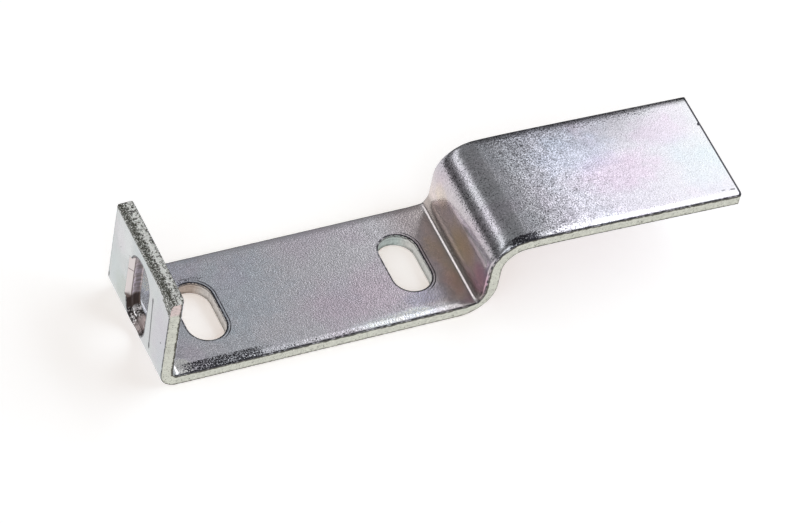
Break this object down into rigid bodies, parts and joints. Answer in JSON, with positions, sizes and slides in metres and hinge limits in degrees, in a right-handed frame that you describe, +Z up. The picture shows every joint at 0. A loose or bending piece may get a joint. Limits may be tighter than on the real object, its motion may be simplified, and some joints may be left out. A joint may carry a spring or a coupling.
{
  "type": "stamped metal bracket",
  "caption": "Folded steel strip bracket: an upright slotted tab, a flat base with slots across it, a tight step and a raised plain plate.",
  "frame": {"origin": "midway between the two base slots, on the underside of the base", "axes": "+X along the strip from the upright tab to the raised plate, +Y across the strip, +Z up"},
  "size_m": [0.1603, 0.035, 0.0321],
  "materials": {
    "zinc_plated_steel": "bright zinc plating with a faint lilac passivation, fine speckle"
  },
  "bodies": {
    "root": {"bracket": "zinc_plated_steel"}
  },
  "joints": []
}
